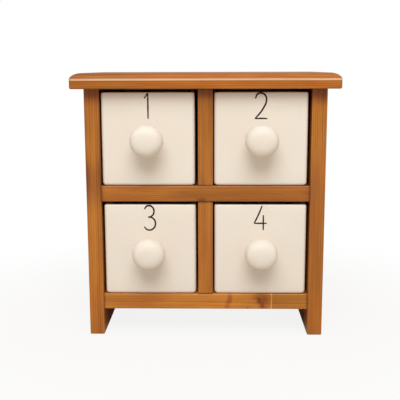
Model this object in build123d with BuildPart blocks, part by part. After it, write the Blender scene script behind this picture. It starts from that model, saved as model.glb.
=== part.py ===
from build123d import *
from math import asin, degrees
import os

# A tabletop cabinet of pine boards with four glazed ceramic drawers, two over two.
# Millimetres. X runs to the viewer's right, Y to the back and Z up. The feet stand on Z = 0,
# and the origin is under the middle of the whole object, knobs included.

os.makedirs("parts", exist_ok=True)

# Carcass
carcass_width = 240.0
carcass_depth = 140.0
upright_thickness = 15.0
shelf_thickness = 16.0
foot_height = 27.7
bay_height = 96.6
edge_ease = 1.0
foot_ease = 0.8

# Top board, with a moulded edge along its front and both ends
top_thickness = 15.4
top_overhang = 12.1
top_edge_flat = 8.1
top_round_width = 11.0
top_corner_radius = 2.5
top_lower_radius = 1.6

# Back panel, let into the rear of the side boards and pinned to the shelves
back_thickness = 4.0
back_rebate_depth = 5.0
back_rebate_width = 6.0
back_clearance = 0.3
pin_head_radius = 1.5
pin_head_height = 0.6
pin_shank_radius = 0.7
pin_length = 16.0
pin_hole_clearance = 0.03
pin_inset = 22.0

# Dowels in the butt joints
dowel_radius = 3.0
dowel_clearance = 0.05
dowel_chamfer = 0.6
dowel_inset = 30.0
dowel_in_end_grain = 20.0
dowel_in_face = 9.0
dowel_end_gap = 0.5

# Ceramic drawers
drawer_width = 93.2
drawer_height = 93.2
drawer_wall = 5.0
drawer_front_wall = 5.5
drawer_floor = 5.0
drawer_setback = 1.0
drawer_back_gap = 0.5
drawer_float = 0.1
drawer_corner_radius = 3.6
drawer_base_radius = 3.4
drawer_rim_radius = 1.9
drawer_inner_radius = 7.0
drawer_inner_floor_radius = 5.0
foot_ring_width = 12.0
foot_ring_depth = 0.7

# Where each drawer stands: column, row, and how far it sits off the middle of its bay
drawer_places = {
    "upper_left": (-1, 1, -0.7),
    "upper_right": (1, 1, -1.1),
    "lower_left": (-1, 0, 0.1),
    "lower_right": (1, 0, -0.7),
}

# Ball knobs, each held by a screw from inside its drawer
knob_radius = 16.0
knob_widest_at = 18.5
knob_front_bulge = 14.0
knob_back_bulge = 11.5
knob_neck_radius = 7.0
knob_neck_fillet = 2.0
knob_foot_flare = 1.6
knob_bore_radius = 3.1
knob_bore_depth = 13.0
insert_radius = 3.05
insert_length = 11.0
insert_bore_radius = 2.01
screw_radius = 1.95
screw_length = 16.0
screw_head_radius = 4.0
screw_head_height = 2.4
screw_head_fillet = 1.2
screw_slot_width = 0.9
screw_slot_depth = 1.2
screw_hole_radius = 2.5
washer_radius = 5.5
washer_bore_radius = 2.2
washer_thickness = 1.0

# Planes and levels that follow from the sizes above
half_width = carcass_width / 2
inner_x = half_width - upright_thickness
side_middle_x = half_width - upright_thickness / 2
bay_centre_x = (upright_thickness / 2 + inner_x) / 2
knob_reach = knob_widest_at + knob_front_bulge
front_y = (knob_reach - drawer_setback - carcass_depth) / 2
rear_y = front_y + carcass_depth
panel_y = rear_y - back_rebate_depth
inner_depth = panel_y - front_y
inner_middle_y = (front_y + panel_y) / 2
bottom_shelf_z = foot_height
lower_bay_z = bottom_shelf_z + shelf_thickness
middle_shelf_z = lower_bay_z + bay_height
upper_bay_z = middle_shelf_z + shelf_thickness
top_z = upper_bay_z + bay_height
bay_levels = (lower_bay_z, upper_bay_z)
shelf_levels = {"bottom_shelf": bottom_shelf_z, "middle_shelf": middle_shelf_z}
dowel_ys = (front_y + dowel_inset, panel_y - dowel_inset)
dowel_hole_radius = dowel_radius + dowel_clearance
pin_xs = (pin_inset - inner_x, -inner_x / 2, 0, inner_x / 2, inner_x - pin_inset)
drawer_front_y = front_y + drawer_setback
drawer_depth = inner_depth - drawer_setback - drawer_back_gap

forward = (0, -1, 0)
backward = (0, 1, 0)
upward = (0, 0, 1)
downward = (0, 0, -1)


def save(piece, name):
    piece.part.label = name
    export_step(piece.part, f"parts/{name}.step")


def facing(points, direction):
    """Places at the points whose own Z looks along the direction."""
    return Locations(*[Plane(origin=point, z_dir=direction) for point in points])


def drill(points, outward, radius, depth=None):
    """Holes into the face that looks outward at the points. With no depth they go right through."""
    with facing(points, outward):
        Hole(radius, depth)


def rods(points, direction, radius, length):
    """Round bars that start at the points and run along the direction."""
    with facing(points, direction):
        Cylinder(radius, length, align=(Align.CENTER, Align.CENTER, Align.MIN))


def shelf_joint_points(shelf_z, side):
    """Where the dowels cross from a shelf into the side board; side is -1 at the left and 1 at the right."""
    return [(side * inner_x, y, shelf_z + shelf_thickness / 2) for y in dowel_ys]


def divider_joint_points(z):
    return [(0, y, z) for y in dowel_ys]


def top_joint_points(side):
    return [(side * side_middle_x, y, top_z) for y in dowel_ys]


def pin_points(y):
    return [(x, y, z + shelf_thickness / 2) for z in shelf_levels.values() for x in pin_xs]


# Side boards: full height, with the lower end as a foot and a stopped rebate for the back panel
for name, side in {"left_side": -1, "right_side": 1}.items():
    with BuildPart() as side_board:
        with BuildSketch(Plane((side * side_middle_x, (front_y + rear_y) / 2, 0))):
            Rectangle(upright_thickness, carcass_depth)
        extrude(amount=top_z)
        fillet(side_board.edges().filter_by(Axis.Z), edge_ease)
        chamfer(side_board.faces().sort_by(Axis.Z)[0].edges(), foot_ease)
        with BuildSketch(Plane((side * inner_x, rear_y, foot_height))):
            Rectangle(2 * back_rebate_width, 2 * back_rebate_depth)
        extrude(amount=top_z - foot_height, mode=Mode.SUBTRACT)
        for shelf_z in shelf_levels.values():
            drill(
                shelf_joint_points(shelf_z, side),
                (-side, 0, 0),
                dowel_hole_radius,
                dowel_in_face + dowel_end_gap,
            )
        drill(top_joint_points(side), upward, dowel_hole_radius, dowel_in_end_grain + dowel_end_gap)
    save(side_board, name)

# Shelves: the bottom one carries the lower divider on blind dowels, and the middle one lets the
# dividers' dowels through
for name, shelf_z in shelf_levels.items():
    with BuildPart() as shelf:
        with BuildSketch(Plane((0, inner_middle_y, shelf_z))):
            Rectangle(2 * inner_x, inner_depth)
        extrude(amount=shelf_thickness)
        fillet(shelf.edges().filter_by(Axis.X).group_by(Axis.Y)[0], edge_ease)
        for side in (-1, 1):
            drill(
                shelf_joint_points(shelf_z, side),
                (side, 0, 0),
                dowel_hole_radius,
                dowel_in_end_grain + dowel_end_gap,
            )
        divider_hole_depth = dowel_in_face + dowel_end_gap if name == "bottom_shelf" else None
        drill(
            divider_joint_points(shelf_z + shelf_thickness), upward, dowel_hole_radius, divider_hole_depth
        )
        drill(
            [(x, panel_y, shelf_z + shelf_thickness / 2) for x in pin_xs],
            backward,
            pin_shank_radius + pin_hole_clearance,
            pin_length - back_thickness + dowel_end_gap,
        )
    save(shelf, name)

# Dividers: one upright in each row, standing between the boards below and above it
for name, bay_z in {"lower_divider": lower_bay_z, "upper_divider": upper_bay_z}.items():
    with BuildPart() as divider:
        with BuildSketch(Plane((0, inner_middle_y, bay_z))):
            Rectangle(upright_thickness, inner_depth)
        extrude(amount=bay_height)
        fillet(divider.edges().filter_by(Axis.Z).group_by(Axis.Y)[0], edge_ease)
        end_hole_depth = dowel_in_end_grain + dowel_end_gap
        drill(divider_joint_points(bay_z), downward, dowel_hole_radius, end_hole_depth)
        drill(divider_joint_points(bay_z + bay_height), upward, dowel_hole_radius, end_hole_depth)
    save(divider, name)

# Top board: two sections crossed, so that the moulding meets in a mitre at each front corner
shoulder_z = top_z + top_edge_flat
crown_z = top_z + top_thickness
top_half_width = half_width + top_overhang
top_front_y = front_y - top_overhang
round_start_x = top_half_width - top_round_width
round_start_y = top_front_y + top_round_width
top_round_height = top_thickness - top_edge_flat
with BuildPart() as top_board:
    with BuildSketch(Plane.XZ.offset(-rear_y)):
        with BuildLine():
            Polyline(
                (-top_half_width, shoulder_z),
                (-top_half_width, top_z),
                (top_half_width, top_z),
                (top_half_width, shoulder_z),
            )
            EllipticalCenterArc(
                (round_start_x, shoulder_z), top_round_width, top_round_height, 0, arc_size=90
            )
            Line((round_start_x, crown_z), (-round_start_x, crown_z))
            EllipticalCenterArc(
                (-round_start_x, shoulder_z), top_round_width, top_round_height, 90, arc_size=90
            )
        make_face()
    extrude(amount=rear_y - top_front_y)
    with BuildSketch(Plane.YZ.offset(-top_half_width)):
        with BuildLine():
            Polyline(
                (top_front_y, shoulder_z),
                (top_front_y, top_z),
                (rear_y, top_z),
                (rear_y, crown_z),
                (round_start_y, crown_z),
            )
            EllipticalCenterArc(
                (round_start_y, shoulder_z), top_round_width, top_round_height, 90, arc_size=90
            )
        make_face()
    extrude(amount=2 * top_half_width, mode=Mode.INTERSECT)
    with BuildSketch(Plane((0, (top_front_y + rear_y) / 2, top_z))) as plan:
        Rectangle(2 * top_half_width, rear_y - top_front_y)
        fillet(plan.vertices().group_by(Axis.Y)[0], top_corner_radius)
    extrude(amount=top_thickness, mode=Mode.INTERSECT)
    underside = top_board.faces().filter_by(Axis.Z).sort_by(Axis.Z)[0]
    fillet(underside.edges().sort_by(Axis.Y)[:-1], top_lower_radius)
    for points in (top_joint_points(-1), top_joint_points(1), divider_joint_points(top_z)):
        drill(points, downward, dowel_hole_radius, dowel_in_face + dowel_end_gap)
save(top_board, "top_board")

# Back panel: it ends level with the underside of the bottom shelf
with BuildPart() as back_panel:
    with BuildSketch(Plane((0, panel_y + back_thickness / 2, foot_height))):
        Rectangle(2 * (inner_x + back_rebate_width - back_clearance), back_thickness)
    extrude(amount=top_z - foot_height - back_clearance)
    drill(pin_points(panel_y + back_thickness), backward, pin_shank_radius + pin_hole_clearance)
save(back_panel, "back_panel")

with BuildPart() as back_panel_pins:
    rods(pin_points(panel_y + back_thickness), backward, pin_head_radius, pin_head_height)
    rods(pin_points(panel_y + back_thickness), forward, pin_shank_radius, pin_length)
save(back_panel_pins, "back_panel_pins")

# Dowels: two in each joint
with BuildPart() as shelf_dowels:
    for shelf_z in shelf_levels.values():
        for side in (-1, 1):
            starts = [(x + side * dowel_in_face, y, z) for x, y, z in shelf_joint_points(shelf_z, side)]
            rods(starts, (-side, 0, 0), dowel_radius, dowel_in_face + dowel_in_end_grain)
    chamfer(shelf_dowels.edges().filter_by(GeomType.CIRCLE), dowel_chamfer)
save(shelf_dowels, "shelf_dowels")

with BuildPart() as divider_dowels:
    blind_length = dowel_in_face + dowel_in_end_grain
    through_length = shelf_thickness + 2 * dowel_in_end_grain
    rods(divider_joint_points(lower_bay_z - dowel_in_face), upward, dowel_radius, blind_length)
    rods(divider_joint_points(middle_shelf_z - dowel_in_end_grain), upward, dowel_radius, through_length)
    rods(divider_joint_points(top_z + dowel_in_face), downward, dowel_radius, blind_length)
    chamfer(divider_dowels.edges().filter_by(GeomType.CIRCLE), dowel_chamfer)
save(divider_dowels, "divider_dowels")

with BuildPart() as top_dowels:
    for side in (-1, 1):
        starts = [(x, y, z - dowel_in_end_grain) for x, y, z in top_joint_points(side)]
        rods(starts, upward, dowel_radius, dowel_in_end_grain + dowel_in_face)
    chamfer(top_dowels.edges().filter_by(GeomType.CIRCLE), dowel_chamfer)
save(top_dowels, "top_dowels")

# Drawers, each with its knob and the knob's fixing
drawer_middle_y = drawer_front_y + drawer_depth / 2
cavity_front_y = drawer_front_y + drawer_front_wall
cavity_depth = drawer_depth - drawer_front_wall - drawer_wall
washer_rear_y = cavity_front_y + washer_thickness
neck_meets_ball = degrees(asin(knob_neck_radius / knob_radius))
knob_foot_radius = knob_neck_radius + knob_foot_flare

for place, (column, row, shift) in drawer_places.items():
    centre_x = column * bay_centre_x + shift
    base_z = bay_levels[row] + drawer_float
    knob_z = base_z + drawer_height / 2

    # An open box with a soft rim, rounded inside corners and a foot ring under its floor
    with BuildPart() as drawer:
        with BuildSketch(Plane((centre_x, drawer_middle_y, base_z))):
            RectangleRounded(drawer_width, drawer_depth, drawer_corner_radius)
        extrude(amount=drawer_height)
        fillet(drawer.edges().group_by(Axis.Z)[0], drawer_base_radius)
        with BuildSketch(Plane((centre_x, cavity_front_y + cavity_depth / 2, base_z + drawer_floor))):
            RectangleRounded(drawer_width - 2 * drawer_wall, cavity_depth, drawer_inner_radius)
        extrude(amount=drawer_height - drawer_floor, mode=Mode.SUBTRACT)
        cavity_floor = drawer.faces().filter_by(Axis.Z).group_by(Axis.Z)[1]
        fillet(cavity_floor.edges(), drawer_inner_floor_radius)
        fillet(drawer.edges().group_by(Axis.Z)[-1], drawer_rim_radius)
        with BuildSketch(Plane((centre_x, drawer_middle_y, base_z))):
            RectangleRounded(
                drawer_width - 2 * foot_ring_width, drawer_depth - 2 * foot_ring_width, drawer_corner_radius
            )
        extrude(amount=foot_ring_depth, mode=Mode.SUBTRACT)
        drill([(centre_x, cavity_front_y, knob_z)], backward, screw_hole_radius, drawer_front_wall + 1)
    save(drawer, f"drawer_{place}")

    # A ball, a little flattened in front, on a short neck that spreads where it meets the drawer.
    # Its half section is drawn with local X pointing forward from the drawer's face.
    section_plane = Plane(origin=(centre_x, drawer_front_y, knob_z), x_dir=forward, z_dir=(-1, 0, 0))
    with BuildPart() as knob:
        with BuildSketch(section_plane):
            with BuildLine():
                Polyline((knob_reach, 0), (0, 0), (0, knob_foot_radius))
                CenterArc((knob_foot_flare, knob_foot_radius), knob_foot_flare, 180, 90)
                back_of_ball = EllipticalCenterArc(
                    (knob_widest_at, 0),
                    knob_back_bulge,
                    knob_radius,
                    90,
                    arc_size=90 - neck_meets_ball,
                )
                Line((knob_foot_flare, knob_neck_radius), back_of_ball @ 1)
                EllipticalCenterArc((knob_widest_at, 0), knob_front_bulge, knob_radius, 0, arc_size=90)
            make_face()
        revolve(axis=Axis((centre_x, drawer_front_y, knob_z), forward))
        circles = knob.edges().filter_by(GeomType.CIRCLE)
        neck_circles = circles.filter_by(lambda circle: abs(circle.radius - knob_neck_radius) < 0.01)
        fillet(neck_circles.sort_by(Axis.Y)[0], knob_neck_fillet)
        drill([(centre_x, drawer_front_y, knob_z)], backward, knob_bore_radius, knob_bore_depth)
    save(knob, f"knob_{place}")

    with BuildPart() as insert:
        rods([(centre_x, drawer_front_y, knob_z)], forward, insert_radius, insert_length)
        drill([(centre_x, drawer_front_y, knob_z)], backward, insert_bore_radius)
    save(insert, f"knob_insert_{place}")

    with BuildPart() as washer:
        rods([(centre_x, cavity_front_y, knob_z)], backward, washer_radius, washer_thickness)
        drill([(centre_x, cavity_front_y, knob_z)], backward, washer_bore_radius)
    save(washer, f"knob_washer_{place}")

    with BuildPart() as screw:
        rods([(centre_x, washer_rear_y, knob_z)], backward, screw_head_radius, screw_head_height)
        fillet(screw.edges().filter_by(GeomType.CIRCLE).sort_by(Axis.Y)[-1], screw_head_fillet)
        head_end = Plane(origin=(centre_x, washer_rear_y + screw_head_height, knob_z), z_dir=backward)
        with BuildSketch(head_end):
            Rectangle(2 * screw_head_radius, screw_slot_width, rotation=15)
        extrude(amount=-screw_slot_depth, mode=Mode.SUBTRACT)
        rods([(centre_x, washer_rear_y, knob_z)], forward, screw_radius, screw_length)
    save(screw, f"knob_screw_{place}")
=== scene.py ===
import bmesh
import bpy
from math import asin, cos, pi, radians, sin
from mathutils import Matrix, Vector


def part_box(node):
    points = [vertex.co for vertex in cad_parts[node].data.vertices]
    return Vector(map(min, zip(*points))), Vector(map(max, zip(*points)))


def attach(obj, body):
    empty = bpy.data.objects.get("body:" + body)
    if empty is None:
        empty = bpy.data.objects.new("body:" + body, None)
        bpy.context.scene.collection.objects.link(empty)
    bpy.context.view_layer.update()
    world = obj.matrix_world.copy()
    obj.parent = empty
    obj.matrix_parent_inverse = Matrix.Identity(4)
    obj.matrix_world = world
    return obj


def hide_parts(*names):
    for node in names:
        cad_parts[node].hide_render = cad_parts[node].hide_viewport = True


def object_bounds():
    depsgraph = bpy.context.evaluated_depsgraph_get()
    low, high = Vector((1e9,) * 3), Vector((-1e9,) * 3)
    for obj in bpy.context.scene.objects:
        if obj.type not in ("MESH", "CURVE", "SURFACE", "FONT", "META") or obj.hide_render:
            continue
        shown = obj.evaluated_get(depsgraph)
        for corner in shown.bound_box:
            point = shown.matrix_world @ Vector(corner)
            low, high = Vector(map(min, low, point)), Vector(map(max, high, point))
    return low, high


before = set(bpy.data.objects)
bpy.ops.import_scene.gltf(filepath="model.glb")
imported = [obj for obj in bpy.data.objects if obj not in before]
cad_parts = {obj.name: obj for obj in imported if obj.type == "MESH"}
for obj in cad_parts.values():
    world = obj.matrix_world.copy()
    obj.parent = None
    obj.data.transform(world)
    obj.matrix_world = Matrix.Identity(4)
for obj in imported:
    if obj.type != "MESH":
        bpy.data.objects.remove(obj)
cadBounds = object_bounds()
mm = 0.001
print("frame loaded:", len(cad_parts), "nodes")

# place of each drawer -> the plain number painted on it
drawers = {"upper_left": "1", "upper_right": "2", "lower_left": "3", "lower_right": "4"}


def clearSelection():
    if bpy.context.object and bpy.context.object.mode != "OBJECT":
        bpy.ops.object.mode_set(mode="OBJECT")
    bpy.ops.object.select_all(action="DESELECT")


def focus(obj):
    clearSelection()
    obj.select_set(True)
    bpy.context.view_layer.objects.active = obj


def pickVerts(obj, test):
    bpy.ops.mesh.select_mode(type="VERT")
    bpy.ops.mesh.select_all(action="DESELECT")
    mesh = bmesh.from_edit_mesh(obj.data)
    for vert in mesh.verts:
        vert.select_set(test(vert.co))
    mesh.select_flush_mode()
    bmesh.update_edit_mesh(obj.data)


def pickEdges(obj, test):
    bpy.ops.mesh.select_mode(type="EDGE")
    bpy.ops.mesh.select_all(action="DESELECT")
    mesh = bmesh.from_edit_mesh(obj.data)
    for edge in mesh.edges:
        edge.select_set(test(edge.verts[0].co, edge.verts[1].co))
    mesh.select_flush_mode()
    bmesh.update_edit_mesh(obj.data)


def pickFaces(obj, test):
    bpy.ops.mesh.select_mode(type="FACE")
    bpy.ops.mesh.select_all(action="DESELECT")
    mesh = bmesh.from_edit_mesh(obj.data)
    mesh.normal_update()
    for face in mesh.faces:
        face.select_set(test(face.calc_center_median(), face.normal))
    mesh.select_flush_mode()
    bmesh.update_edit_mesh(obj.data)


def near(a, b, slack=0.02 * mm):
    return abs(a - b) < slack


def nameIt(obj, name):
    obj.name = name
    obj.data.name = name


def bevelPicked(offset, segments):
    bpy.ops.mesh.bevel(offset=offset, segments=segments, profile=0.5, affect="EDGES", clamp_overlap=False)


def settle(obj, angle):
    # place goes into the mesh, normals outwards, soft shading up to the angle
    focus(obj)
    bpy.ops.object.transform_apply(location=True, rotation=True, scale=True)
    bpy.ops.object.mode_set(mode="EDIT")
    bpy.ops.mesh.select_all(action="SELECT")
    bpy.ops.mesh.remove_doubles(threshold=0.002 * mm)
    bpy.ops.mesh.normals_make_consistent(inside=False)
    bpy.ops.object.mode_set(mode="OBJECT")
    bpy.ops.object.shade_smooth_by_angle(angle=radians(angle))
    clearSelection()


def applyModifier(obj, kind, **settings):
    focus(obj)
    modifier = obj.modifiers.new(kind.lower(), kind)
    for key, value in settings.items():
        setattr(modifier, key, value)
    bpy.ops.object.modifier_apply(modifier=modifier.name)


def makeUneven(obj, name, shape):
    # off true, as by hand: only ever inwards, so that the piece never leaves its space
    waves = bpy.data.textures.new(name, "CLOUDS")
    waves.noise_scale = shape["unevenSize"]
    applyModifier(obj, "DISPLACE", texture=waves, strength=shape["handUneven"], mid_level=1.0,
                  texture_coords="GLOBAL")


def copyTo(source, name, shift):
    focus(source)
    bpy.ops.object.duplicate(linked=False)
    copy = bpy.context.object
    nameIt(copy, name)
    copy.data.transform(Matrix.Translation(shift))
    clearSelection()
    return copy


def addNode(tree, kind, inputs=None, **settings):
    made = tree.nodes.new("ShaderNode" + kind)
    for key, value in settings.items():
        setattr(made, key, value)
    for key, value in (inputs or {}).items():
        if isinstance(value, bpy.types.NodeSocket):
            tree.links.new(value, made.inputs[key])
        else:
            made.inputs[key].default_value = value
    return made


def calc(tree, operation, a, b=0.0):
    return addNode(tree, "Math", {0: a, 1: b}, operation=operation).outputs[0]


def vecCalc(tree, operation, a, b=(0, 0, 0)):
    made = addNode(tree, "VectorMath", {0: a, 1: b}, operation=operation)
    return made.outputs["Value" if operation == "LENGTH" else "Vector"]


def axis(tree, vector, which):
    return addNode(tree, "SeparateXYZ", {0: vector}).outputs[which]


def grain(tree, where, perMetre, detail=2.0, rough=0.5, colour=False):
    # noise whose cells are stretched: perMetre is how many there are along each axis
    scaled = vecCalc(tree, "MULTIPLY", where, perMetre)
    made = addNode(tree, "TexNoise", {"Vector": scaled, "Scale": 1.0, "Detail": detail, "Roughness": rough})
    return made.outputs["Color" if colour else "Fac"]


def ramp(tree, value, low, high, start=0.0, end=1.0, smooth=True):
    span = {"Value": value, "From Min": low, "From Max": high, "To Min": start, "To Max": end}
    kind = "SMOOTHSTEP" if smooth else "LINEAR"
    return addNode(tree, "MapRange", span, interpolation_type=kind).outputs["Result"]


def swing(tree, noise, amount, low=0.2):
    # noise made to go from -amount to amount
    return ramp(tree, noise, low, 1 - low, -amount, amount)


def blend(tree, amount, a, b, mode="MIX"):
    made = addNode(tree, "Mix", {"Factor": amount}, data_type="RGBA", blend_type=mode)
    for socket, value in ((made.inputs[6], a), (made.inputs[7], b)):
        if isinstance(value, bpy.types.NodeSocket):
            tree.links.new(value, socket)
        else:
            socket.default_value = value
    return made.outputs[2]


def rgb(red, green, blue):
    # a colour as on screen, 0 to 255, as the shader wants it
    linear = [((c / 255 + 0.055) / 1.055) ** 2.4 if c > 10 else c / 255 / 12.92 for c in (red, green, blue)]
    return (*linear, 1.0)


def newMaterial(name):
    made = bpy.data.materials.new(name)
    made.use_nodes = True
    made.node_tree.nodes.clear()
    return made, made.node_tree


def finishSurface(tree, colour, roughness, height, depth, sockets):
    # sockets are the plain numbers of the shader, the same all over
    bump = addNode(tree, "Bump", {"Height": height, "Distance": depth, "Strength": 1.0})
    surface = {"Base Color": colour, "Roughness": roughness, "Normal": bump.outputs[0]}
    shader = addNode(tree, "BsdfPrincipled", surface)
    for key, value in sockets.items():
        shader.inputs[key].default_value = value
    output = addNode(tree, "OutputMaterial")
    tree.links.new(shader.outputs[0], output.inputs[0])


woodLook = {
    "golden": rgb(192, 120, 42),
    "reddish": rgb(176, 103, 37),
    "late": rgb(146, 81, 27),
    "fineLine": rgb(124, 65, 20),
    "knot": rgb(70, 30, 12),
    "glueLine": rgb(226, 166, 100),
    # the colour of the painted highlight along the top's moulding
    "shoulderHighlightColour": rgb(240, 196, 150),
    # noises: cells per metre along and across the fibres, detail, roughness
    "wander": ((5, 9, 9), 1.5, 0.5),
    "growth": ((1.5, 110, 110), 1.0, 0.5),
    "patches": ((3, 40, 40), 2.0, 0.5),
    "fibres": ((45, 1500, 1500), 2.0, 0.6),
    "lines": ((3.5, 620, 620), 2.0, 0.55),
    "streaks": ((5, 190, 190), 3.0, 0.55),
    "clouds": ((7, 20, 20), 2.0, 0.5),
    "warmth": ((9, 60, 60), 3.0, 0.6),
    "staveStart": 1.0,  # metres in front of the board where its staves are counted from
    "staveShift": (0.6, 0.02, 0.04),  # metres by which a stave's figure may be moved
    "seedShift": 0.37,  # metres along the tree from one seed to the next
    "wanderBy": 4.5 * mm,  # how far the rings stray from straight
    "growthBy": 2.0,  # rings more or fewer where the tree grew fast or slow
    "lateRise": (0.1, 0.84),  # the share of a ring over which it darkens
    "lateFall": (0.86, 1.0),  # and over which it ends
    "lateAmount": (0.25, 0.8),  # late wood where it shows least and most
    "latePatches": (0.3, 0.7),
    "warmthRange": (0.35, 0.65),
    "lineRange": (0.5, 0.78),
    "lineAmount": 0.5,
    "knotReach": 3.0,  # knot sizes over which the rings give way
    "knotPush": 3.4,  # rings
    "knotCore": (0.35, 1.0),
    # how much lighter or darker each kind of figure makes the stain
    "streakShade": 0.13,
    "cloudShade": 0.12,
    "fibreShade": 0.08,
    "staveShade": 0.08,
    "markDepth": 40 * mm,  # reach of a mark from front to back
    "markWobble": 0.2,
    "markFade": (0.2, 1.1),
    "markRed": 0.4,  # how much redder a dark mark is
    # painted shade in the joints where boards butt together
    "seamFade": (0.8 * mm, 3.2 * mm),
    "seamWander": 1.2 * mm,
    "seamShade": 0.45,
    "endGrainFacing": (0.6, 0.9),
    "endGrainShade": 0.7,
    "edgeRub": (1.4 * mm, 0.05),  # width, and how much lighter
    "edgeRubPatches": (0.35, 0.65),
    "staveLine": (0.25, 0.25),  # width in mm, and how much darker
    "jointShade": (0.6 * mm, 0.8),
    "jointLine": (0.2 * mm, 0.7 * mm, 0.6),
    "highlightFacing": (-0.7, 0.3),  # from facing the back to facing the front
    "highlightWobble": 0.15,  # of the painted highlight's reach
    "highlightCore": 0.35,
    "fibreRise": 0.5,
    "lateSink": 0.5,
    "roughness": (0.42, 0.56),
    "bump": 0.05 * mm,
    "sockets": {"Specular IOR Level": 0.12, "Coat Weight": 0.45, "Coat Roughness": 0.1},
}


def boardAxes(tree, node, alongZ):
    # a point's place, how far it is from the board's ends and edges, and its place with X along the fibres
    low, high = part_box(node)
    centre, half = (low + high) / 2, (high - low) / 2
    coords = addNode(tree, "TexCoord").outputs["Object"]
    local = vecCalc(tree, "SUBTRACT", coords, tuple(centre))
    gap = vecCalc(tree, "SUBTRACT", tuple(half), vecCalc(tree, "ABSOLUTE", local))
    gaps = addNode(tree, "SeparateXYZ", {0: gap}).outputs
    turn = (0, radians(90), 0) if alongZ else (0, 0, 0)
    lined = addNode(tree, "Mapping", {"Vector": local, "Rotation": turn}, vector_type="POINT").outputs[0]
    return coords, gaps, lined


def splitStaves(tree, lined, stave, seed):
    # edge-glued staves across the board's depth, each from another part of the tree
    look = woodLook
    start = look["staveStart"] + seed * mm
    across = calc(tree, "DIVIDE", calc(tree, "ADD", axis(tree, lined, 1), start), stave * mm)
    number = calc(tree, "ADD", calc(tree, "FLOOR", across), seed)
    chance = addNode(tree, "TexWhiteNoise", {"W": number}, noise_dimensions="1D").outputs
    shift = vecCalc(tree, "SUBTRACT", chance["Color"], (0.5, 0.5, 0.5))
    there = vecCalc(tree, "ADD", lined, vecCalc(tree, "MULTIPLY", shift, look["staveShift"]))
    there = vecCalc(tree, "ADD", there, (seed * look["seedShift"], 0, 0))
    return there, calc(tree, "FRACT", across), chance["Value"]


def knotField(tree, coords, knots, alongZ):
    # how far the knots push the rings aside, and how dark they are
    look = woodLook
    push, dark = 0.0, 0.0
    for x, y, z, size, strength, stretch in knots:
        away = vecCalc(tree, "SUBTRACT", coords, (x * mm, y * mm, z * mm))
        squeeze = (1.0, 1.0, 1 / stretch) if alongZ else (1 / stretch, 1.0, 1.0)
        distance = vecCalc(tree, "LENGTH", vecCalc(tree, "MULTIPLY", away, squeeze))
        distance = calc(tree, "DIVIDE", distance, size * mm)
        bulge = ramp(tree, distance, 0.0, look["knotReach"], 1.0, 0.0)
        push = calc(tree, "ADD", push, calc(tree, "MULTIPLY", bulge, look["knotPush"] * strength))
        dark = calc(tree, "MAXIMUM", dark, ramp(tree, distance, *look["knotCore"], strength, 0.0))
    return push, dark


def lateWood(tree, there, pith, spacing, push, contrast):
    # rings round a pith that wanders along the board: each darkens slowly and ends sharply
    look = woodLook
    stray = vecCalc(tree, "SUBTRACT", grain(tree, there, *look["wander"], colour=True), (0.5, 0.5, 0.5))
    stray = vecCalc(tree, "MULTIPLY", stray, (0, look["wanderBy"], look["wanderBy"]))
    fromPith = vecCalc(tree, "SUBTRACT", vecCalc(tree, "ADD", there, stray), (0, pith[0] * mm, pith[1] * mm))
    radius = vecCalc(tree, "LENGTH", vecCalc(tree, "MULTIPLY", fromPith, (0, 1, 1)))
    growth = calc(tree, "MULTIPLY", grain(tree, there, *look["growth"]), look["growthBy"])
    rings = calc(tree, "ADD", calc(tree, "DIVIDE", radius, spacing * mm), growth)
    phase = calc(tree, "FRACT", calc(tree, "ADD", rings, push))
    darkens = ramp(tree, phase, *look["lateRise"])
    late = calc(tree, "MULTIPLY", darkens, ramp(tree, phase, *look["lateFall"], 1.0, 0.0))
    least, most = look["lateAmount"]
    patches = grain(tree, there, *look["patches"])
    patchy = ramp(tree, patches, *look["latePatches"], least * contrast, most * contrast)
    return calc(tree, "MULTIPLY", late, patchy)


def stainShadeAndLightMarks(tree, coords, marks, streak, shade):
    # soft places in the stain, and painted shade and painted light on the sides and the divider: centre,
    # reach and change of brightness; the dark ones are redder too
    look = woodLook
    redder = 1.0
    for x, y, z, reachX, reachZ, change in marks:
        away = vecCalc(tree, "SUBTRACT", coords, (x * mm, y * mm, z * mm))
        away = vecCalc(tree, "DIVIDE", away, (reachX * mm, look["markDepth"], reachZ * mm))
        distance = calc(tree, "ADD", vecCalc(tree, "LENGTH", away), swing(tree, streak, look["markWobble"]))
        shade = calc(tree, "ADD", shade, ramp(tree, distance, *look["markFade"], change, 0.0))
        if change < 0:
            redness = ramp(tree, distance, *look["markFade"], 1.0 + look["markRed"] * change, 1.0)
            redder = calc(tree, "MULTIPLY", redder, redness)
    return shade, redder


def edgeDistance(tree, gaps):
    # the middle one of the three gaps is how far the nearest edge of the board is
    least = calc(tree, "MINIMUM", gaps[0], gaps[1])
    most = calc(tree, "MAXIMUM", gaps[0], gaps[1])
    return calc(tree, "MAXIMUM", least, calc(tree, "MINIMUM", most, gaps[2]))


def shadeEdges(tree, shade, gaps, alongZ, seamEnds, streak, cloud):
    look = woodLook
    ends = 2 if alongZ else 0
    if seamEnds:
        # painted shade: a dark line where the board butts against another, for the shade in the joint
        seam = calc(tree, "ADD", gaps[ends], calc(tree, "MULTIPLY", streak, look["seamWander"]))
        shade = calc(tree, "MULTIPLY", shade, ramp(tree, seam, *look["seamFade"], look["seamShade"], 1.0))
    # end grain drinks the stain
    normal = vecCalc(tree, "ABSOLUTE", addNode(tree, "TexCoord").outputs["Normal"])
    endGrain = ramp(tree, axis(tree, normal, ends), *look["endGrainFacing"], 1.0, look["endGrainShade"])
    shade = calc(tree, "MULTIPLY", shade, endGrain)
    # edges are rubbed a little lighter
    width, lighter = look["edgeRub"]
    atEdge = ramp(tree, edgeDistance(tree, gaps), 0.0, width, 1.0, 0.0)
    inPatches = ramp(tree, cloud, *look["edgeRubPatches"], 0.0, lighter)
    return calc(tree, "ADD", shade, calc(tree, "MULTIPLY", atEdge, inPatches))


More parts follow.
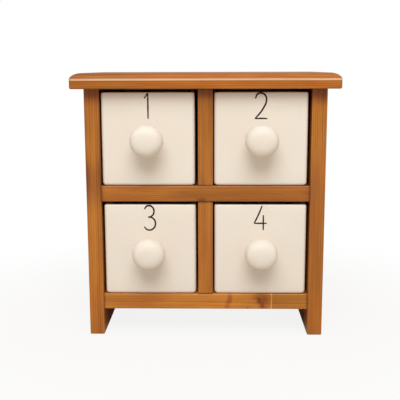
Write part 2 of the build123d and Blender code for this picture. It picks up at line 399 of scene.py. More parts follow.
def pieceOut(tree, coords, joint, shade, colour):
    # the board is pieced out lengthways: a pale glue line, and a darker length beyond it
    look = woodLook
    past = calc(tree, "SUBTRACT", axis(tree, coords, 0), joint * mm)
    width, darker = look["jointShade"]
    shade = calc(tree, "MULTIPLY", shade, ramp(tree, past, 0.0, width, 1.0, darker))
    lineCore, lineEnd, amount = look["jointLine"]
    glued = ramp(tree, calc(tree, "ABSOLUTE", past), lineCore, lineEnd, amount, 0.0)
    return shade, blend(tree, glued, colour, look["glueLine"])


def paintShoulderHighlight(tree, coords, cloud, shoulderHighlight, colour):
    # a painted highlight along the shoulder of the moulding: pale along the front, less at both ends and not
    # at the back
    look = woodLook
    height, reach, amount = shoulderHighlight
    normal = addNode(tree, "TexCoord").outputs["Normal"]
    amount = ramp(tree, axis(tree, normal, 1), *look["highlightFacing"], amount, 0.0)
    off = calc(tree, "ABSOLUTE", calc(tree, "SUBTRACT", axis(tree, coords, 2), height * mm))
    off = calc(tree, "ADD", off, swing(tree, cloud, look["highlightWobble"] * reach * mm))
    highlighted = ramp(tree, off, look["highlightCore"] * reach * mm, reach * mm, amount, 0.0)
    return blend(tree, highlighted, colour, look["shoulderHighlightColour"])


def woodMaterial(node, pith, spacing, seed, stave, alongZ=False, tint=1.0, yellow=1.0, contrast=1.0,
                 marks=(), knots=(), seamEnds=True, joint=None, shoulderHighlight=None, coat=None):
    # stained pine under a satin varnish
    look = woodLook
    made, tree = newMaterial("pine_" + node)
    coords, gaps, lined = boardAxes(tree, node, alongZ)
    there, staveCell, staveChance = splitStaves(tree, lined, stave, seed)
    push, knotDark = knotField(tree, coords, knots, alongZ)
    late = lateWood(tree, there, pith, spacing, push, contrast)
    kinds = ("fibres", "lines", "streaks", "clouds", "warmth")
    fibre, line, streak, cloud, warmth = (grain(tree, there, *look[kind]) for kind in kinds)
    colour = blend(tree, ramp(tree, warmth, *look["warmthRange"]), look["golden"], look["reddish"])
    colour = blend(tree, late, colour, look["late"])
    drawn = ramp(tree, line, *look["lineRange"], 0.0, look["lineAmount"] * contrast)
    colour = blend(tree, drawn, colour, look["fineLine"])

    # shade is the brightness of the stain, 1 as it is mixed, with the painted shade and painted light of the
    # marks and joints added to it
    shade = calc(tree, "ADD", swing(tree, streak, look["streakShade"], 0.25),
                 swing(tree, cloud, look["cloudShade"], 0.25))
    shade = calc(tree, "ADD", shade, swing(tree, fibre, look["fibreShade"]))
    staveTone = calc(tree, "MULTIPLY", calc(tree, "SUBTRACT", staveChance, 0.5), look["staveShade"])
    shade = calc(tree, "ADD", calc(tree, "ADD", shade, staveTone), tint)
    shade, redder = stainShadeAndLightMarks(tree, coords, marks, streak, shade)
    shade = shadeEdges(tree, shade, gaps, alongZ, seamEnds, streak, cloud)
    # thin dark line between staves
    width, darker = look["staveLine"]
    staveEdge = calc(tree, "MINIMUM", staveCell, calc(tree, "SUBTRACT", 1.0, staveCell))
    shade = calc(tree, "SUBTRACT", shade, ramp(tree, staveEdge, 0.0, width / stave, darker, 0.0))
    if joint:
        shade, colour = pieceOut(tree, coords, joint, shade, colour)
    # painted highlight along the shoulder of the top's moulding
    if shoulderHighlight:
        colour = paintShoulderHighlight(tree, coords, cloud, shoulderHighlight, colour)
    colour = blend(tree, knotDark, colour, look["knot"])

    green = calc(tree, "MULTIPLY", shade, yellow)
    blue = calc(tree, "MULTIPLY", green, yellow)
    green = calc(tree, "MULTIPLY", green, redder)
    shaded = addNode(tree, "CombineColor", {0: shade, 1: green, 2: blue}).outputs[0]
    colour = blend(tree, 1.0, colour, shaded, "MULTIPLY")
    roughness = ramp(tree, streak, 0.2, 0.8, *look["roughness"], smooth=False)
    raised = calc(tree, "MULTIPLY", fibre, look["fibreRise"])
    height = calc(tree, "SUBTRACT", raised, calc(tree, "MULTIPLY", late, look["lateSink"]))
    sockets = dict(look["sockets"])
    if coat is not None:
        sockets["Coat Weight"] = coat
    finishSurface(tree, colour, roughness, height, look["bump"], sockets)
    return made


glazeLook = {
    "drawerCream": rgb(241, 230, 216),
    # the drawers' cream made a little darker for the knobs: painted shade for the extra light their full
    # fronts catch
    "knobShadedCream": rgb(237, 227, 213),
    "thin": rgb(236, 221, 203),
    "speck": rgb(196, 170, 136),
    "body": rgb(222, 206, 182),
    "pooling": (16, 16, 16),
    "poolRange": (0.35, 0.75),
    "poolAmount": 0.3,
    "ripple": (70, 70, 70),
    "speckScale": 120.0,
    "speckChance": (0.95, 0.97),  # only the cells above it have a speck
    "speckSize": (0.02, 0.05),
    "speckAmount": 0.4,
    "roughness": (0.28, 0.36),
    "bareFade": (0.5 * mm, 0.9 * mm),  # height above the foot over which the glaze begins
    "bareWobble": 0.5 * mm,
    "bareRough": 0.5,
    "bump": 0.04 * mm,
    "sockets": {
        "Specular IOR Level": 0.16,
        "Subsurface Weight": 0.1,
        "Subsurface Scale": 0.006,
        "Subsurface Radius": (1.0, 0.5, 0.25),
    },
    "knobSockets": {
        "Specular IOR Level": 0.1,
        "Subsurface Weight": 0.35,
        "Subsurface Scale": 0.012,
        "Subsurface Radius": (1.0, 0.7, 0.5),
    },
}


def glazeMaterial(name, cream, footZ=None):
    look = glazeLook
    made, tree = newMaterial(name)
    coords = addNode(tree, "TexCoord").outputs["Object"]
    pooling = grain(tree, coords, look["pooling"])
    ripple = grain(tree, coords, look["ripple"])
    pooled = ramp(tree, pooling, *look["poolRange"], 0.0, look["poolAmount"])
    colour = blend(tree, pooled, cream, look["thin"])
    # a few tiny specks of iron under the glaze
    cells = addNode(tree, "TexVoronoi", {"Vector": coords, "Scale": look["speckScale"]}, feature="F1")
    few = ramp(tree, axis(tree, cells.outputs["Color"], 0), *look["speckChance"])
    dot = ramp(tree, cells.outputs["Distance"], *look["speckSize"], look["speckAmount"], 0.0)
    colour = blend(tree, calc(tree, "MULTIPLY", dot, few), colour, look["speck"])
    roughness = ramp(tree, ripple, 0.25, 0.75, *look["roughness"], smooth=False)
    if footZ is not None:
        # a drawer's foot is wiped bare of glaze
        above = calc(tree, "SUBTRACT", axis(tree, coords, 2), footZ)
        bare = calc(tree, "ADD", above, calc(tree, "MULTIPLY", ripple, look["bareWobble"]))
        bare = ramp(tree, bare, *look["bareFade"], 1.0, 0.0)
        colour = blend(tree, bare, colour, look["body"])
        roughness = calc(tree, "ADD", roughness, calc(tree, "MULTIPLY", bare, look["bareRough"]))
    sockets = look["knobSockets" if footZ is None else "sockets"]
    finishSurface(tree, colour, roughness, ripple, look["bump"], sockets)
    return made


inkLook = {
    "thick": rgb(32, 24, 22),
    "thin": rgb(52, 40, 34),
    "flow": (260, 260, 260),
    "roughness": (0.4, 0.55),
    "bump": 0.03 * mm,
    "sockets": {"Specular IOR Level": 0.15},
}


def inkMaterial():
    look = inkLook
    made, tree = newMaterial("painted_ink")
    coords = addNode(tree, "TexCoord").outputs["Object"]
    flow = grain(tree, coords, look["flow"], 3.0)
    colour = blend(tree, ramp(tree, flow, 0.35, 0.8), look["thick"], look["thin"])
    roughness = ramp(tree, flow, 0.2, 0.8, *look["roughness"])
    finishSurface(tree, colour, roughness, flow, look["bump"], look["sockets"])
    return made


metalLook = {
    "turned_brass": {"clean": rgb(214, 178, 104), "dull": rgb(160, 122, 60), "roughness": 0.3},
    "zinc_plate": {"clean": rgb(196, 198, 200), "dull": rgb(142, 142, 140), "roughness": 0.32},
}
metalWear = {
    "turned": (900, 120, 900),
    "stain": (160, 160, 160),
    "dulling": 0.6,
    "rougher": 0.2,
    "bump": 0.03 * mm,
    "sockets": {"Metallic": 1.0},
}


def metalMaterial(name):
    look, wear = metalLook[name], metalWear
    made, tree = newMaterial(name)
    coords = addNode(tree, "TexCoord").outputs["Object"]
    turned = grain(tree, coords, wear["turned"])
    stain = grain(tree, coords, wear["stain"], 3.0)
    colour = blend(tree, ramp(tree, stain, 0.4, 0.7, 0.0, wear["dulling"]), look["clean"], look["dull"])
    roughness = calc(tree, "ADD", look["roughness"], ramp(tree, stain, 0.3, 0.7, 0.0, wear["rougher"]))
    finishSurface(tree, colour, roughness, turned, wear["bump"], wear["sockets"])
    return made


# woods with no rings to speak of: long soft figure and fibres, in cells per metre
plainWoodLook = {
    "stained_plywood": {
        "light": rgb(178, 114, 58), "dark": rgb(150, 90, 42), "roughness": 0.5,
        "figure": (70, 70, 5), "fibre": (1300, 1300, 35),
    },
    "bare_beech": {
        "light": rgb(222, 190, 148), "dark": rgb(196, 158, 112), "roughness": 0.6,
        "figure": (5, 70, 70), "fibre": (35, 1300, 1300),
    },
}
plainWoodGrain = {
    "figureShare": 0.6,
    "fibreShare": 0.4,
    "rougher": 0.15,
    "bump": 0.08 * mm,
    "sockets": {"Specular IOR Level": 0.25},
}


def plainWoodMaterial(name):
    look, shared = plainWoodLook[name], plainWoodGrain
    made, tree = newMaterial(name)
    coords = addNode(tree, "TexCoord").outputs["Object"]
    figure = grain(tree, coords, look["figure"], 4.0, 0.55)
    fibre = grain(tree, coords, look["fibre"], 2.0, 0.6)
    mixed = calc(tree, "ADD", calc(tree, "MULTIPLY", figure, shared["figureShare"]),
                 calc(tree, "MULTIPLY", fibre, shared["fibreShare"]))
    colour = blend(tree, ramp(tree, mixed, 0.3, 0.72), look["light"], look["dark"])
    roughness = ramp(tree, fibre, 0.2, 0.8, look["roughness"], look["roughness"] + shared["rougher"])
    finishSurface(tree, colour, roughness, fibre, shared["bump"], shared["sockets"])
    return made


def dress(node, material):
    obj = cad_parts[node]
    obj.data.materials.clear()
    obj.data.materials.append(material)


# The boards of the carcass. In millimetres: pith is where the pith lies across the fibres, from the board's
# middle, spacing the width of a ring, stave the width of a stave, and joint where the board is pieced out.
# A mark is x, y, z, reach in x, reach in z, change of brightness; most are stain, and the ones noted are
# painted shade and painted light. A knot is x, y, z, size, strength, stretch.
# The shoulder highlight, a painted highlight along the moulding, is its height, its reach and how much of it
# shows.
boards = {
    "top_board": {
        "pith": (-40, -120), "spacing": 2.4, "seed": 1.0, "stave": 76,
        "tint": 0.91, "yellow": 0.94, "contrast": 0.8, "coat": 0.2, "seamEnds": False,
        # painted highlight along the moulding's shoulder
        "shoulderHighlight": (261.9, 1.3, 0.84),
        "knots": [(62, 22, 268, 4.5, 0.75, 1.5)],
        "marks": [(60, -66, 257, 90, 14, -0.04)],
    },
    "left_side": {
        "pith": (-50, 130), "spacing": 2.2, "seed": 2.0, "stave": 70,
        "alongZ": True, "yellow": 1.02, "seamEnds": False,
        "knots": [(-121, 30, 92, 5, 0.8, 1.6)],
        # stain on the upper side; lighter on the foot, painted light; darker under the top, painted shadow of
        # its overhang; darker inside the foot, painted shade under the bottom shelf
        "marks": [(-114, -54, 160, 20, 34, -0.3), (-121, -54, 165, 6, 26, -0.14),
                  (-105.5, -54, 190, 3.5, 55, -0.1), (-112, -54, 20, 14, 60, 0.12),
                  (-112, -54, 250, 18, 14, -0.4), (-103, -14, 14, 6, 30, -0.5)],
    },
    "right_side": {
        "pith": (-40, -140), "spacing": 2.0, "seed": 3.0, "stave": 70,
        "alongZ": True, "yellow": 1.03, "seamEnds": False,
        "knots": [(121, -8, 176, 5.5, 0.8, 1.6), (121, 62, 60, 3, 0.7, 1.5)],
        # lighter low down and on the foot, painted light; darker under the top, painted shadow of its
        # overhang; darker inside the foot, painted shade under the bottom shelf
        "marks": [(112, -54, 90, 14, 130, 0.12), (112, -54, 0, 14, 60, 0.1),
                  (112, -54, 250, 18, 14, -0.4), (103, -14, 14, 6, 30, -0.45)],
    },
    "bottom_shelf": {
        "pith": (-60, 120), "spacing": 2.6, "seed": 4.0, "stave": 68,
        "tint": 1.24, "yellow": 1.08, "contrast": 0.55, "joint": 68,
        "marks": [(25, -54, 40, 3.2, 8, -0.42), (22.5, -54, 31, 3.6, 7, -0.34),
                  (58, -54, 41, 11, 7, -0.42), (60, -54, 31, 8, 9, -0.28),
                  (55, -54, 36, 2.4, 5, -0.3), (58.5, -54, 31, 2.8, 4.5, -0.4),
                  (43.5, -54, 28.5, 2.5, 2.5, -0.35), (0, -54, 26, 140, 3, -0.24)],
    },
    "middle_shelf": {
        "pith": (-60, -110), "spacing": 1.7, "seed": 5.0, "stave": 68,
        "tint": 0.94,
        "knots": [(-5, -56, 141, 1.8, 0.8, 1.8)],
        "marks": [(-106, -54, 149, 7, 14, -0.14), (106, -54, 149, 9, 14, -0.18),
                  (-4, -54, 142, 6, 3, -0.3)],
    },
    "lower_divider": {
        "pith": (-60, 120), "spacing": 1.5, "seed": 6.0, "stave": 68,
        "alongZ": True, "yellow": 1.03,
    },
    "upper_divider": {
        "pith": (-50, -125), "spacing": 1.4, "seed": 7.0, "stave": 68,
        "alongZ": True, "tint": 1.05, "yellow": 1.04,
        # darker under the top: painted shadow of its overhang
        "marks": [(0, -54, 251, 16, 10, -0.34)],
    },
}
for node, board in boards.items():
    dress(node, woodMaterial(node, **board))
dress("back_panel", plainWoodMaterial("stained_plywood"))
beech = plainWoodMaterial("bare_beech")
for node in ("shelf_dowels", "divider_dowels", "top_dowels"):
    dress(node, beech)
brass = metalMaterial("turned_brass")
zinc = metalMaterial("zinc_plate")
for place in drawers:
    dress("knob_insert_" + place, brass)
    dress("knob_screw_" + place, zinc)
    dress("knob_washer_" + place, zinc)
dress("back_panel_pins", zinc)
print("boards and fixings finished")


drawerShape = {
    "wall": 5.0 * mm,
    "frontWall": 5.5 * mm,
    "floor": 5.0 * mm,
    "corner": 3.6 * mm,
    "cornerSteps": 6,
    "baseRound": 3.4 * mm,
    "innerCorner": 7.0 * mm,
    "innerFloorRound": 5.0 * mm,
    "floorSteps": 5,
    "rimRound": 1.9 * mm,
    "rimSteps": 4,
    "footWidth": 12.0 * mm,
    "footDepth": 0.7 * mm,
    "footEase": 0.3 * mm,
    "footSteps": 2,
    "bridgeLift": 5.0 * mm,  # the inner loops stand off while they are bridged, so that no bridge can twist
    "fineness": 3,
    "handUneven": 0.22 * mm,
    "unevenSize": 0.06,
    "screwHole": 2.5 * mm,
    "holeSides": 32,
    "smoothAngle": 35,
}


def addTube(obj, low, high, corner, steps, openEnd):
    # a box with rounded upright corners, added to the mesh in edit mode, open at the level to be bridged
    size, centre = high - low, (low + high) / 2
    bpy.ops.mesh.select_all(action="DESELECT")
    bpy.ops.mesh.primitive_cube_add(size=1, location=centre, scale=size)
    mesh = bmesh.from_edit_mesh(obj.data)
    fresh = {vert.co.copy().freeze() for vert in mesh.verts if vert.select}

    def isNewUpright(a, b):
        return a.copy().freeze() in fresh and b.copy().freeze() in fresh and not near(a.z, b.z)

    def isOpenEnd(place, normal):
        inMiddle = near(place.x, centre.x, mm) and near(place.y, centre.y, mm)
        return inMiddle and near(place.z, openEnd) and abs(normal.z) > 0.9

    pickEdges(obj, isNewUpright)
    bevelPicked(corner, steps)
    pickFaces(obj, isOpenEnd)
    bpy.ops.mesh.delete(type="ONLY_FACE")


def onLoop(low, high, level, slack=0.05 * mm):
    # true for edges that lie at the level and within the plan of the box low..high
    def isThere(point):
        inside = low.x - slack < point.x < high.x + slack and low.y - slack < point.y < high.y + slack
        return inside and near(point.z, level, slack)
    return lambda a, b: isThere(a) and isThere(b)


def drillScrewHole(obj, node):
    shape = drawerShape
    knobLow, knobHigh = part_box(node.replace("drawer_", "knob_"))
    hub = (knobLow + knobHigh) / 2
    clearSelection()
    bpy.ops.mesh.primitive_cylinder_add(
        vertices=shape["holeSides"], radius=shape["screwHole"], depth=4 * shape["frontWall"],
        location=(hub.x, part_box(node)[0].y, hub.z), rotation=(pi / 2, 0, 0),
    )
    drill = bpy.context.object
    applyModifier(obj, "BOOLEAN", object=drill, operation="DIFFERENCE", solver="EXACT")
    bpy.data.objects.remove(drill)


def modelDrawer(name, node):
    # an open box with a soft rim, rounded inside corners and a foot ring under its floor
    shape = drawerShape
    low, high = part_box(node)
    wall, corner, steps, lift = shape["wall"], shape["corner"], shape["cornerSteps"], shape["bridgeLift"]
    cavityLow = Vector((low.x + wall, low.y + shape["frontWall"], low.z + shape["floor"]))
    cavityHigh = Vector((high.x - wall, high.y - wall, high.z + lift))
    foot = shape["footWidth"]
    footLow = Vector((low.x + foot, low.y + foot, low.z - lift))
    footHigh = Vector((high.x - foot, high.y - foot, low.z + shape["footDepth"]))

    clearSelection()
    bpy.ops.mesh.primitive_cube_add(size=1, location=(low + high) / 2, scale=high - low)
    obj = bpy.context.object
    nameIt(obj, name)
    bpy.ops.object.transform_apply(location=True, rotation=True, scale=True)
    bpy.ops.object.mode_set(mode="EDIT")
    pickEdges(obj, lambda a, b: not near(a.z, b.z))
    bevelPicked(corner, steps)
    pickFaces(obj, lambda place, normal: abs(normal.z) > 0.9)
    bpy.ops.mesh.delete(type="ONLY_FACE")
    addTube(obj, cavityLow, cavityHigh, shape["innerCorner"], steps, cavityHigh.z)
    addTube(obj, footLow, footHigh, corner, steps, footLow.z)
    for level, apart in ((high.z, lift), (low.z, -lift)):
        pickEdges(obj, lambda a, b: near(a.z, b.z) and (near(a.z, level) or near(a.z, level + apart)))
        bpy.ops.mesh.bridge_edge_loops()
        pickVerts(obj, lambda place: near(place.z, level + apart))
        bpy.ops.transform.translate(value=(0, 0, -apart))
    bpy.ops.mesh.select_all(action="SELECT")
    bpy.ops.mesh.normals_make_consistent(inside=False)

    # soften what the glaze softens: base, inside floor, rim and foot
    isInner = onLoop(cavityLow, cavityHigh, high.z)

    def isBase(a, b):
        # the outer edge of the base, not the edge of the foot
        return all(near(point.z, low.z) and (
            point.x < low.x + corner + mm or point.x > high.x - corner - mm
            or point.y < low.y + corner or point.y > high.y - corner) for point in (a, b))

    def isRim(a, b):
        # edges that run round the rim; the ones across it join an outer point to an inner one
        return near(a.z, high.z) and near(b.z, high.z) and isInner(a, a) == isInner(b, b)

    rounds = (
        (isBase, shape["baseRound"], shape["floorSteps"]),
        (onLoop(cavityLow, cavityHigh, cavityLow.z), shape["innerFloorRound"], shape["floorSteps"]),
        (isRim, shape["rimRound"], shape["rimSteps"]),
        (onLoop(footLow, footHigh, footHigh.z), shape["footEase"], shape["footSteps"]),
    )
    for test, offset, segments in rounds:
        pickEdges(obj, test)
        bevelPicked(offset, segments)
    bpy.ops.object.mode_set(mode="OBJECT")

    fine = shape["fineness"]
    applyModifier(obj, "SUBSURF", subdivision_type="SIMPLE", levels=fine, render_levels=fine)
    makeUneven(obj, "hand_uneven", shape)
    drillScrewHole(obj, node)
    settle(obj, shape["smoothAngle"])
    return obj


knobShape = {
    "radius": 16.0 * mm,
    "widestAt": 18.5 * mm,
    "frontBulge": 14.0 * mm,
    "backBulge": 11.5 * mm,
    "fullness": 2.9,  # 2 is an ellipse, more is flatter in front and fuller at the shoulder
    "segments": 64,
    "rings": 32,
    "neckRadius": 7.0 * mm,
    "neckBevel": 1.4 * mm,
    "neckSteps": 5,
    "footFlare": 1.6 * mm,
    "flareSteps": 6,
    "footSunk": 0.5 * mm,
    "oval": (1.03, 1.0, 1.0),  # a little wider than high
    "handUneven": 0.12 * mm,
    "unevenSize": 0.03,
    "smoothAngle": 60,
}


def fillFront(obj, middle):
    # the ball's rings in front of its widest place go forward, one by one
    shape = knobShape
    bulge, fullness = shape["frontBulge"], shape["fullness"]
    for ring in range(1, shape["rings"] // 2):
        angle = pi * ring / shape["rings"]
        depth = bulge * cos(angle)
        full = bulge * (1 - sin(angle) ** fullness) ** (1 / fullness)
        ringY = middle.y - depth
        pickVerts(obj, lambda place: near(place.y, ringY))
        bpy.ops.transform.translate(value=(0, depth - full, 0))


def drawNeck(middle, cutY, faceY):
    # the picked ring is drawn back to the drawer, where it flares out and goes in a little
    shape = knobShape
    neck, flare, steps = shape["neckRadius"], shape["footFlare"], shape["flareSteps"]
    bpy.ops.mesh.extrude_region_move(TRANSFORM_OT_translate={"value": (0, faceY - flare - cutY, 0)})
    for step in range(1, steps + 1):
        turned = pi / 2 * step / steps
        before = neck + flare * (1 - cos(turned - pi / 2 / steps))
        after = neck + flare * (1 - cos(turned))
        onward = flare * (sin(turned) - sin(turned - pi / 2 / steps))
        bpy.ops.mesh.extrude_region_move(TRANSFORM_OT_translate={"value": (0, onward, 0)})
        wider = (after / before, 1, after / before)
        bpy.ops.transform.resize(value=wider, center_override=(middle.x, faceY, middle.z))
    bpy.ops.mesh.extrude_region_move(TRANSFORM_OT_translate={"value": (0, shape["footSunk"], 0)})
    bpy.ops.mesh.edge_face_add()


def modelKnob(name, node):
    # a ball, flattened in front and behind, on a short neck
    shape = knobShape
    low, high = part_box(node)
    faceY = high.y
    middle = Vector(((low.x + high.x) / 2, faceY - shape["widestAt"], (low.z + high.z) / 2))
    radius, hair = shape["radius"], 0.01 * mm

    clearSelection()
    bpy.ops.mesh.primitive_uv_sphere_add(
        segments=shape["segments"], ring_count=shape["rings"], radius=radius,
        location=middle, rotation=(pi / 2, 0, 0),
    )
    obj = bpy.context.object
    nameIt(obj, name)
    bpy.ops.object.transform_apply(location=True, rotation=True, scale=True)
    bpy.ops.object.mode_set(mode="EDIT")
    pickVerts(obj, lambda place: place.y < middle.y - hair)
    bpy.ops.transform.resize(value=(1, shape["frontBulge"] / radius, 1), center_override=middle)
    pickVerts(obj, lambda place: place.y > middle.y + hair)
    bpy.ops.transform.resize(value=(1, shape["backBulge"] / radius, 1), center_override=middle)
    fillFront(obj, middle)

    # cut the back off where the neck meets the ball
    cutY = middle.y + shape["backBulge"] * cos(asin(shape["neckRadius"] / radius))
    bpy.ops.mesh.select_all(action="SELECT")
    bpy.ops.mesh.bisect(plane_co=(0, cutY, 0), plane_no=(0, 1, 0), clear_outer=True, clear_inner=False)
    pickEdges(obj, lambda a, b: near(a.y, cutY) and near(b.y, cutY))
    drawNeck(middle, cutY, faceY)
    pickEdges(obj, lambda a, b: near(a.y, cutY) and near(b.y, cutY))
    bevelPicked(shape["neckBevel"], shape["neckSteps"])
    bpy.ops.mesh.select_all(action="SELECT")
    bpy.ops.transform.resize(value=shape["oval"], center_override=middle)
    bpy.ops.object.mode_set(mode="OBJECT")
    makeUneven(obj, "knob_uneven", shape)
    settle(obj, shape["smoothAngle"])
    return obj


numberShape = {
    "height": 25.0 * mm,
    "width": 13.5 * mm,
    "stroke": 1.8 * mm,
    "endWidth": 0.85,  # of the stroke, at its ends
    "middleWidth": 1.05,
    "roundSteps": 3,
    "curveSteps": 10,
    "proud": 0.06 * mm,
    "sunk": 0.5 * mm,
    "aboveKnob": 20.5 * mm,  # from the knob's middle to the foot of the number
    "smoothAngle": 60,
}
# strokes of each number on a unit square, as a brush would draw them
strokes = {
    "1": [[(0.25, 0.80), (0.52, 1.0)], [(0.52, 1.0), (0.52, 0.5), (0.52, 0.0)]],
    "2": [[(0.06, 0.78), (0.22, 0.96), (0.50, 1.0), (0.80, 0.90),
           (0.86, 0.68), (0.66, 0.42), (0.32, 0.16), (0.04, 0.0)],
          [(0.04, 0.0), (0.5, 0.01), (0.94, 0.0)]],
    "3": [[(0.08, 0.86), (0.30, 0.99), (0.62, 0.97), (0.80, 0.77), (0.64, 0.58), (0.36, 0.53)],
          [(0.36, 0.53), (0.70, 0.49), (0.90, 0.27), (0.70, 0.04), (0.34, 0.0), (0.04, 0.13)]],
    "4": [[(0.62, 1.0), (0.34, 0.62), (0.04, 0.28)], [(0.04, 0.28), (0.5, 0.28), (0.98, 0.28)],
          [(0.72, 0.62), (0.72, 0.3), (0.72, 0.0)]],
}


def drawStroke(stroke, left, foot):
    shape = numberShape
    clearSelection()
    bpy.ops.curve.primitive_bezier_curve_add(location=(0, 0, 0))
    curve = bpy.context.object
    line = curve.data.splines[0]
    line.bezier_points.add(len(stroke) - 2)
    for step, (point, (u, v)) in enumerate(zip(line.bezier_points, stroke)):
        point.co = (left + u * shape["width"], 0, foot + v * shape["height"])
        point.handle_left_type = point.handle_right_type = "AUTO"
        point.radius = shape["endWidth" if step in (0, len(stroke) - 1) else "middleWidth"]
    curve.data.dimensions = "3D"
    curve.data.bevel_depth = shape["stroke"] / 2
    curve.data.bevel_resolution = shape["roundSteps"]
    curve.data.resolution_u = shape["curveSteps"]
    curve.data.use_fill_caps = True
    bpy.ops.object.convert(target="MESH")
    return bpy.context.object


def modelNumber(name, number, place):
    shape = numberShape
    knobLow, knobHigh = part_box("knob_" + place)
    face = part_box("drawer_" + place)[0].y
    left = (knobLow.x + knobHigh.x) / 2 - shape["width"] / 2
    foot = (knobLow.z + knobHigh.z) / 2 + shape["aboveKnob"]
    parts = [drawStroke(stroke, left, foot) for stroke in strokes[number]]
    clearSelection()
    for part in parts:
        part.select_set(True)
    bpy.context.view_layer.objects.active = parts[0]
    bpy.ops.object.join()
    obj = bpy.context.object
    nameIt(obj, name)
    # flatten the round strokes to a film of paint that lies in the glaze
    bpy.ops.object.mode_set(mode="EDIT")
    bpy.ops.mesh.select_all(action="SELECT")
    thick = shape["proud"] + shape["sunk"]
    bpy.ops.transform.resize(value=(1, thick / shape["stroke"], 1), center_override=(0, 0, 0))
    bpy.ops.transform.translate(value=(0, face + (shape["sunk"] - shape["proud"]) / 2, 0))
    bpy.ops.object.mode_set(mode="OBJECT")
    settle(obj, shape["smoothAngle"])
    return obj


originals = {}


def modelOrCopy(model, kind, nodeKind, place):
    # the first piece of its kind is modelled, and the others are copies of it, each in its own place
    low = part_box(nodeKind + place)[0]
    if kind not in originals:
        piece = model(kind + place, nodeKind + place)
        originals[kind] = (piece, low)
        return piece
    original, originalLow = originals[kind]
    return copyTo(original, kind + place, low - originalLow)


def glazePiece(piece, node, body, material):
    piece.data.materials.clear()
    piece.data.materials.append(material)
    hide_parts(node)
    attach(piece, body)


ink = inkMaterial()
for place, number in drawers.items():
    body, drawerNode, knobNode = place + "_drawer", "drawer_" + place, "knob_" + place
    drawer = modelOrCopy(modelDrawer, "glazed_drawer_", "drawer_", place)
    knob = modelOrCopy(modelKnob, "ball_knob_", "knob_", place)
    numeral = modelNumber("number_" + place, number, place)
    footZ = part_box(drawerNode)[0].z
    drawerGlaze = glazeMaterial("cream_glaze_" + drawer.name, glazeLook["drawerCream"], footZ)
    glazePiece(drawer, drawerNode, body, drawerGlaze)
    # the knob's glaze uses the darker cream: painted shade
    knobGlaze = glazeMaterial("cream_glaze_" + knob.name, glazeLook["knobShadedCream"])
    glazePiece(knob, knobNode, body, knobGlaze)
    numeral.data.materials.append(ink)
    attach(numeral, body)
    print(place, "drawer, knob and number made")


stageLook = {
    "keyPower": 26.6,
    "keySize": 1.42,
    "keyDistance": 2.0,
    "keyHeight": 48.0,  # degrees above the horizon, straight in front
    "keyColour": (0.96, 1.0, 1.05),
    "ambient": 0.6,
    "ambientColour": (1.0, 0.97, 0.92, 1.0),
    "white": (1.0, 1.0, 1.0, 1.0),
    "inGloss": 0.15,  # how much of the white backdrop shows in the varnish and the metal
    "floorSize": 12.0,
    "floorColour": rgb(206, 198, 186),
    "floorMottle": (3, 3, 3),
    "floorWhite": (0.87, 1.0),  # how white the floor is drawn, near the cabinet and away from it
    "floorFade": (0.15, 0.45),
}
cabinetMiddle = (cadBounds[0] + cadBounds[1]) / 2


def mixedOutput(tree, kind, amount, first, second):
    mixed = addNode(tree, "MixShader", {0: amount, 1: first.outputs[0], 2: second.outputs[0]})
    output = addNode(tree, kind)
    tree.links.new(mixed.outputs[0], output.inputs[0])


def makeFloor():
    look = stageLook
    clearSelection()
    bpy.ops.mesh.primitive_plane_add(size=look["floorSize"], location=(0, 0, 0))
    floor = bpy.context.object
    floor.name = "floor"
    made, tree = newMaterial("pale_floor")
    coords = addNode(tree, "TexCoord").outputs["Object"]
    away = vecCalc(tree, "LENGTH", coords)
    mottle = grain(tree, coords, look["floorMottle"])
    paint = addNode(tree, "BsdfDiffuse", {"Color": look["floorColour"], "Roughness": mottle})
    white = addNode(tree, "Emission", {"Color": look["white"], "Strength": 1.0})
    seen = addNode(tree, "LightPath").outputs["Is Camera Ray"]
    amount = calc(tree, "MULTIPLY", seen, ramp(tree, away, *look["floorFade"], *look["floorWhite"]))
    mixedOutput(tree, "OutputMaterial", amount, paint, white)
    floor.data.materials.append(made)


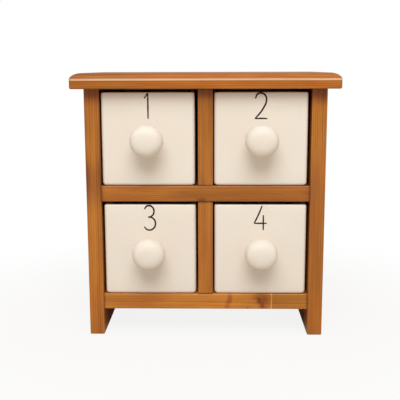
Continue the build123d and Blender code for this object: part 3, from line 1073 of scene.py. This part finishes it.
def makeWorld():
    look = stageLook
    world = bpy.data.worlds.new("studio")
    bpy.context.scene.world = world
    world.use_nodes = True
    tree = world.node_tree
    tree.nodes.clear()
    path = addNode(tree, "LightPath")
    shown = calc(tree, "MAXIMUM", path.outputs["Is Camera Ray"], path.outputs["Is Transmission Ray"])
    inGloss = calc(tree, "MULTIPLY", path.outputs["Is Glossy Ray"], look["inGloss"])
    shown = calc(tree, "MAXIMUM", shown, inGloss)
    room = addNode(tree, "Background", {"Color": look["ambientColour"], "Strength": look["ambient"]})
    backdrop = addNode(tree, "Background", {"Color": look["white"], "Strength": 1.0})
    mixedOutput(tree, "OutputWorld", shown, room, backdrop)


def makeLight():
    look = stageLook
    height = radians(look["keyHeight"])
    place = cabinetMiddle + look["keyDistance"] * Vector((0, -cos(height), sin(height)))
    bpy.ops.object.light_add(type="AREA", location=place)
    lamp = bpy.context.object
    lamp.name = "softbox"
    lamp.data.shape = "DISK"
    lamp.data.size = look["keySize"]
    lamp.data.energy = look["keyPower"]
    lamp.data.color = look["keyColour"]
    lamp.rotation_euler = (cabinetMiddle - place).to_track_quat("-Z", "Y").to_euler()


# metres, degrees and, for the lens, millimetres
cameraPose = {
    "place": (0.009315, -0.78951, 0.27340),
    "down": 10.128,
    "left": 1.150,
    "roll": -0.152,
    "lens": 66.805,
    "sensor": 36.0,
    "clipStart": 0.01,
}


def makeCamera():
    look = cameraPose
    bpy.ops.object.camera_add()
    camera = bpy.context.object
    camera.matrix_world = (
        Matrix.Translation(look["place"])
        @ Matrix.Rotation(radians(look["left"]), 4, "Z")
        @ Matrix.Rotation(radians(90 - look["down"]), 4, "X")
        @ Matrix.Rotation(radians(look["roll"]), 4, "Z")
    )
    camera.data.lens = look["lens"]
    camera.data.sensor_width = look["sensor"]
    camera.data.clip_start = look["clipStart"]
    bpy.context.scene.camera = camera


makeFloor()
makeWorld()
makeLight()
makeCamera()
bpy.context.scene.view_settings.view_transform = "Standard"
print("stage, light and camera set")
